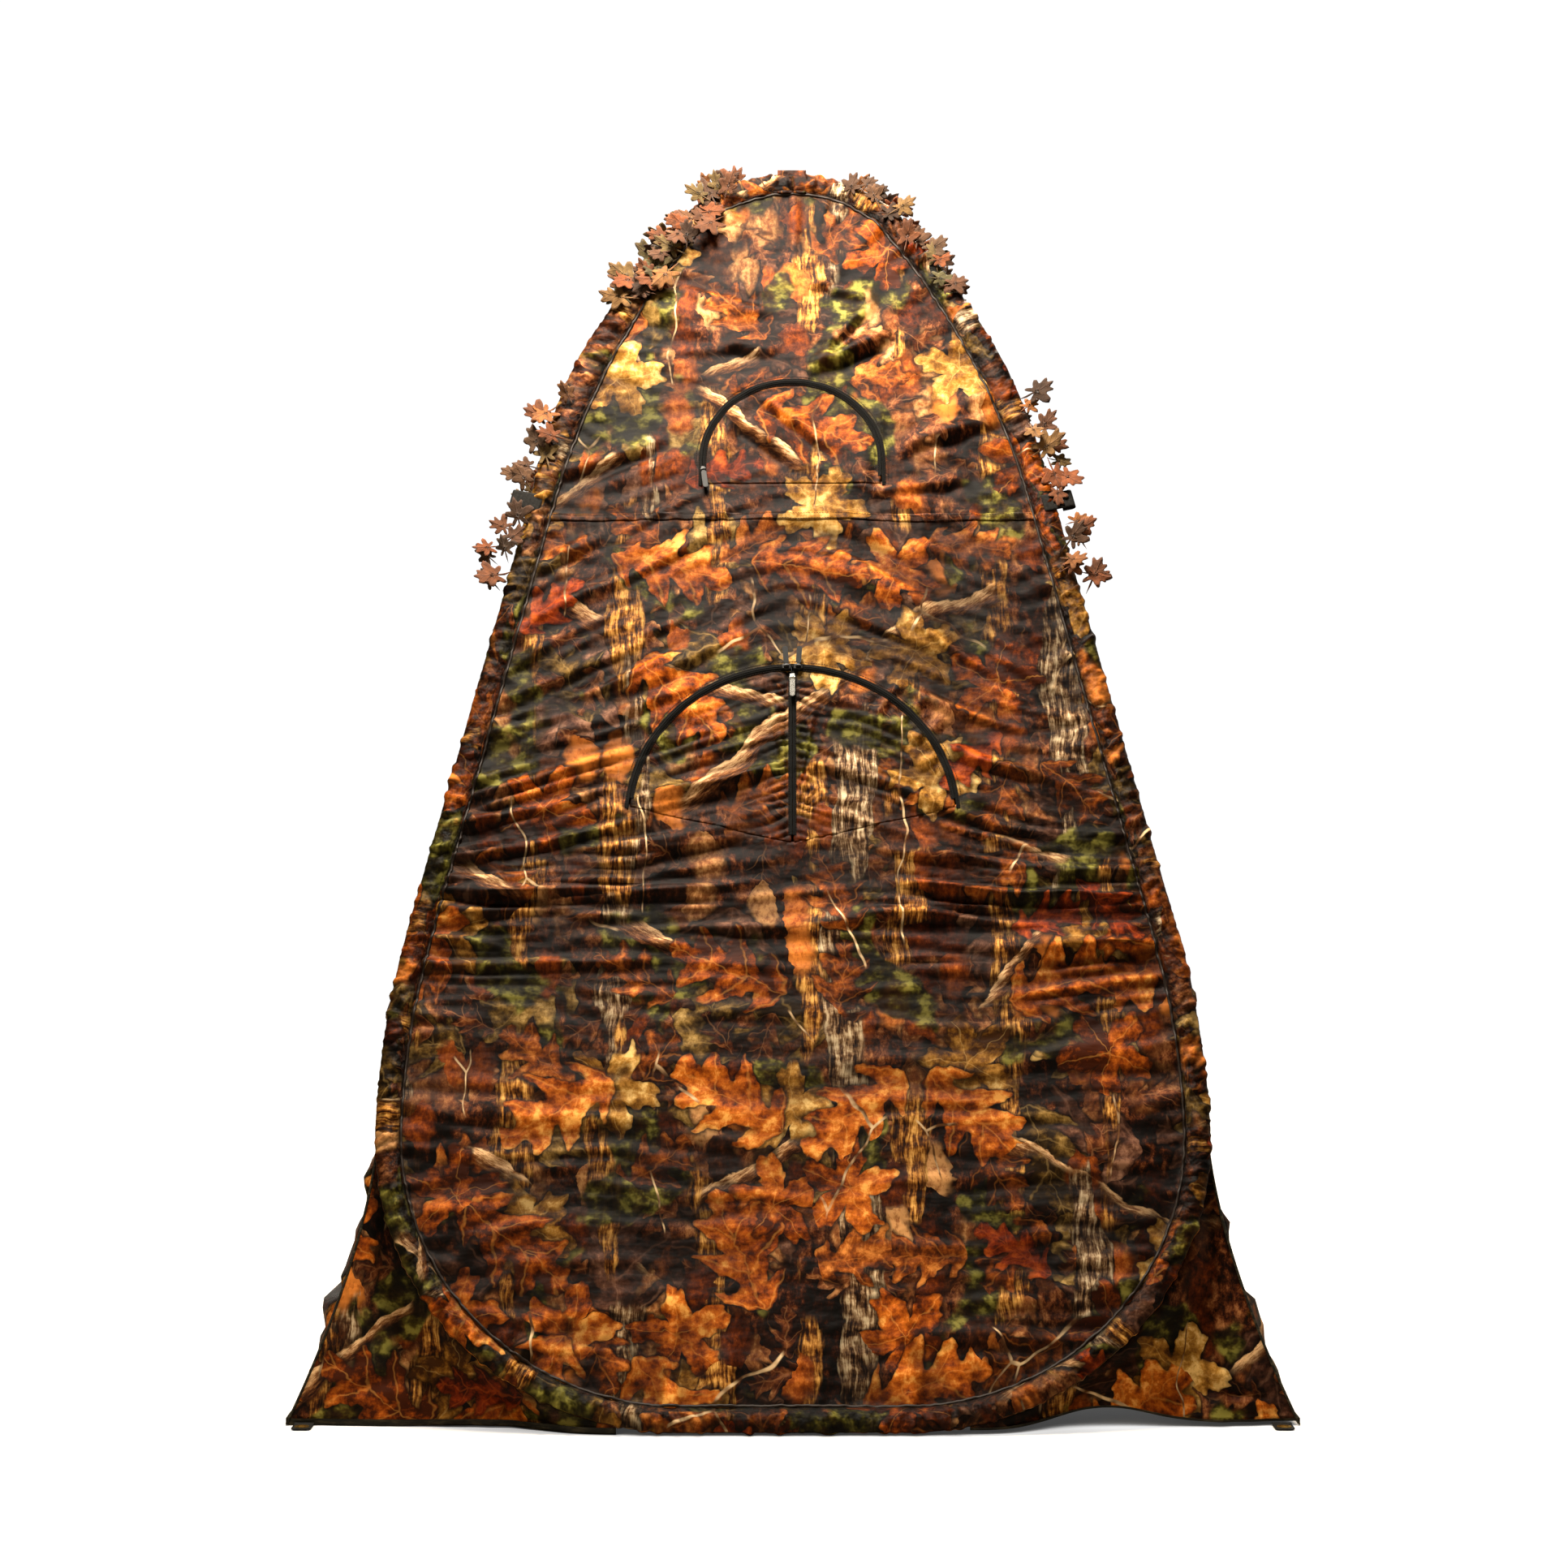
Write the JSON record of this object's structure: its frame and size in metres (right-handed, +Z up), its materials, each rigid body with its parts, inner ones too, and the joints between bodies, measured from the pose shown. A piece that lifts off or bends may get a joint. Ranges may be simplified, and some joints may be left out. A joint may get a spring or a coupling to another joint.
{
  "type": "pop up ground blind",
  "caption": "A-frame pop up blind: two spring hoops skinned in leaf camouflage, zipped lens windows in front and a zipped door behind.",
  "frame": {"origin": "middle of the ground footprint, at ground level", "axes": "+Z up, -Y out of the front wall with the windows, +X to the right as seen from the front"},
  "size_m": [1.25, 1.4282, 1.6664],
  "materials": {
    "camo_fabric": "woven polyester with an autumn leaf camouflage print, slight sheen",
    "sleeve_fabric": "the same print, gathered",
    "leaf_cloth": "matte die-cut cloth",
    "ground_hem": "coated, satin",
    "webbing": "woven webbing",
    "zip_tape": "woven tape with nylon coil",
    "zip_black": "black enamel",
    "zip_metal": "nickel plated",
    "spring_steel": "oiled",
    "ferrule": "zinc plated",
    "brass": "polished"
  },
  "bodies": {
    "front_wall": {"crown_leaf_strip_left": "leaf_cloth", "crown_leaf_strip_right": "leaf_cloth", "crown_strap": "webbing", "front_grommets": "brass", "front_gusset_left": "camo_fabric", "front_gusset_right": "camo_fabric", "front_hem": "ground_hem", "front_hoop": "spring_steel", "front_hoop_ferrule": "ferrule", "front_leaf_strip_left": "leaf_cloth", "front_leaf_strip_right": "leaf_cloth", "front_panel_lower": "camo_fabric", "front_panel_upper": "camo_fabric", "front_peg_tabs": "webbing", "front_seam_tape": "sleeve_fabric", "front_sleeve": "sleeve_fabric", "front_webbing_loops": "webbing", "lower_zip_tape": "zip_tape", "side_hem_left": "ground_hem", "side_hem_right": "ground_hem", "side_wall_left": "camo_fabric", "side_wall_right": "camo_fabric", "upper_zip_tape": "zip_tape"},
    "rear_wall": {"door_tape_ends": "zip_tape", "rear_grommets": "brass", "rear_gusset_left": "camo_fabric", "rear_gusset_right": "camo_fabric", "rear_hem": "ground_hem", "rear_hoop": "spring_steel", "rear_hoop_ferrule": "ferrule", "rear_leaf_strip_left": "leaf_cloth", "rear_leaf_strip_right": "leaf_cloth", "rear_panel_lower": "camo_fabric", "rear_panel_upper": "camo_fabric", "rear_peg_tabs": "webbing", "rear_seam_tape": "sleeve_fabric", "rear_sleeve": "sleeve_fabric", "rear_webbing_loops": "webbing"},
    "upper_flap": {"upper_flap": "camo_fabric", "upper_flap_tape": "zip_tape"},
    "lower_flap_left": {"lower_flap_left": "camo_fabric", "lower_flap_left_tape": "zip_tape"},
    "lower_flap_right": {"lower_flap_right": "camo_fabric", "lower_flap_right_tape": "zip_tape"},
    "door_flap_left": {"door_flap_left": "camo_fabric", "door_flap_left_tape": "zip_tape"},
    "door_flap_right": {"door_flap_right": "camo_fabric", "door_flap_right_tape": "zip_tape"},
    "upper_slider": {"upper_slider": "zip_black"},
    "upper_pull": {"upper_pull": "zip_black"},
    "arch_left_slider": {"arch_left_slider": "zip_black"},
    "arch_left_pull": {"arch_left_pull": "zip_black"},
    "arch_right_slider": {"arch_right_slider": "zip_black"},
    "arch_right_pull": {"arch_right_pull": "zip_black"},
    "centre_slider": {"centre_slider": "zip_metal"},
    "centre_pull": {"centre_pull": "zip_metal"},
    "door_slider": {"door_slider": "zip_black"},
    "door_pull": {"door_pull": "zip_black"}
  },
  "joints": [
    {"name": "fold", "type": "hinge", "parent": "front_wall", "child": "rear_wall", "pos_m": [0, 0, 1.64692], "axis": [-1, 0, 0], "range_deg": [0, 40], "deforming": ["side_wall_left", "side_wall_right", "side_hem_left", "side_hem_right", "crown_strap"]},
    {"name": "upper_flap_fold", "type": "hinge", "parent": "front_wall", "child": "upper_flap", "pos_m": [0, -0.19843, 1.19992], "axis": [-1, 0, 0], "range_deg": [0, 157]},
    {"name": "lower_flap_left_fold", "type": "hinge", "parent": "front_wall", "child": "lower_flap_left", "pos_m": [-0.2134, -0.38442, 0.76176], "axis": [-0.9736, 0.0891, 0.21], "range_deg": [0, 157]},
    {"name": "lower_flap_right_fold", "type": "hinge", "parent": "front_wall", "child": "lower_flap_right", "pos_m": [0.2134, -0.38442, 0.76176], "axis": [-0.9736, -0.0891, -0.21], "range_deg": [0, 157]},
    {"name": "upper_zip", "type": "hinge", "parent": "front_wall", "child": "upper_slider", "pos_m": [0, -0.18646, 1.23069], "axis": [0, 0.9205, -0.3907], "range_deg": [0, 196]},
    {"name": "arch_left_zip", "type": "hinge", "parent": "front_wall", "child": "arch_left_slider", "pos_m": [0, -0.39159, 0.74742], "axis": [0, -0.9205, 0.3907], "range_deg": [0, 81]},
    {"name": "arch_right_zip", "type": "hinge", "parent": "front_wall", "child": "arch_right_slider", "pos_m": [0, -0.39159, 0.74742], "axis": [0, 0.9205, -0.3907], "range_deg": [0, 81]},
    {"name": "centre_zip", "type": "slide", "parent": "front_wall", "child": "centre_slider", "axis": [0, -0.3907, -0.9205], "range_m": [0, 0.225]},
    {"name": "upper_pull_swing", "type": "hinge", "parent": "upper_slider", "child": "upper_pull", "pos_m": [-0.12081, -0.20073, 1.2183], "axis": [-0.9903, -0.0544, -0.1281], "range_deg": [0, 120]},
    {"name": "arch_left_pull_swing", "type": "hinge", "parent": "arch_left_slider", "child": "arch_left_pull", "pos_m": [-0.00784, -0.31567, 0.94752], "axis": [0.9976, 0.0273, 0.0642], "range_deg": [0, 120]},
    {"name": "arch_right_pull_swing", "type": "hinge", "parent": "arch_right_slider", "child": "arch_right_pull", "pos_m": [0.00784, -0.31567, 0.94752], "axis": [0.9976, -0.0273, -0.0642], "range_deg": [0, 120]},
    {"name": "centre_pull_swing", "type": "hinge", "parent": "centre_slider", "child": "centre_pull", "pos_m": [0, -0.32226, 0.93201], "axis": [-1, 0, 0], "range_deg": [0, 120]},
    {"name": "door_flap_left_fold", "type": "hinge", "parent": "rear_wall", "child": "door_flap_left", "pos_m": [0, 0.23491, 1.11655], "axis": [0.2528, -0.378, 0.8906], "range_deg": [0, 130]},
    {"name": "door_flap_right_fold", "type": "hinge", "parent": "rear_wall", "child": "door_flap_right", "pos_m": [0, 0.23491, 1.11655], "axis": [0.2528, 0.378, -0.8906], "range_deg": [0, 130]},
    {"name": "door_zip", "type": "slide", "parent": "rear_wall", "child": "door_slider", "axis": [0, -0.3907, 0.9205], "range_m": [0, 1.138]},
    {"name": "door_pull_swing", "type": "hinge", "parent": "door_slider", "child": "door_pull", "pos_m": [0, 0.68173, 0.08514], "axis": [1, 0, 0], "range_deg": [0, 120]}
  ]
}
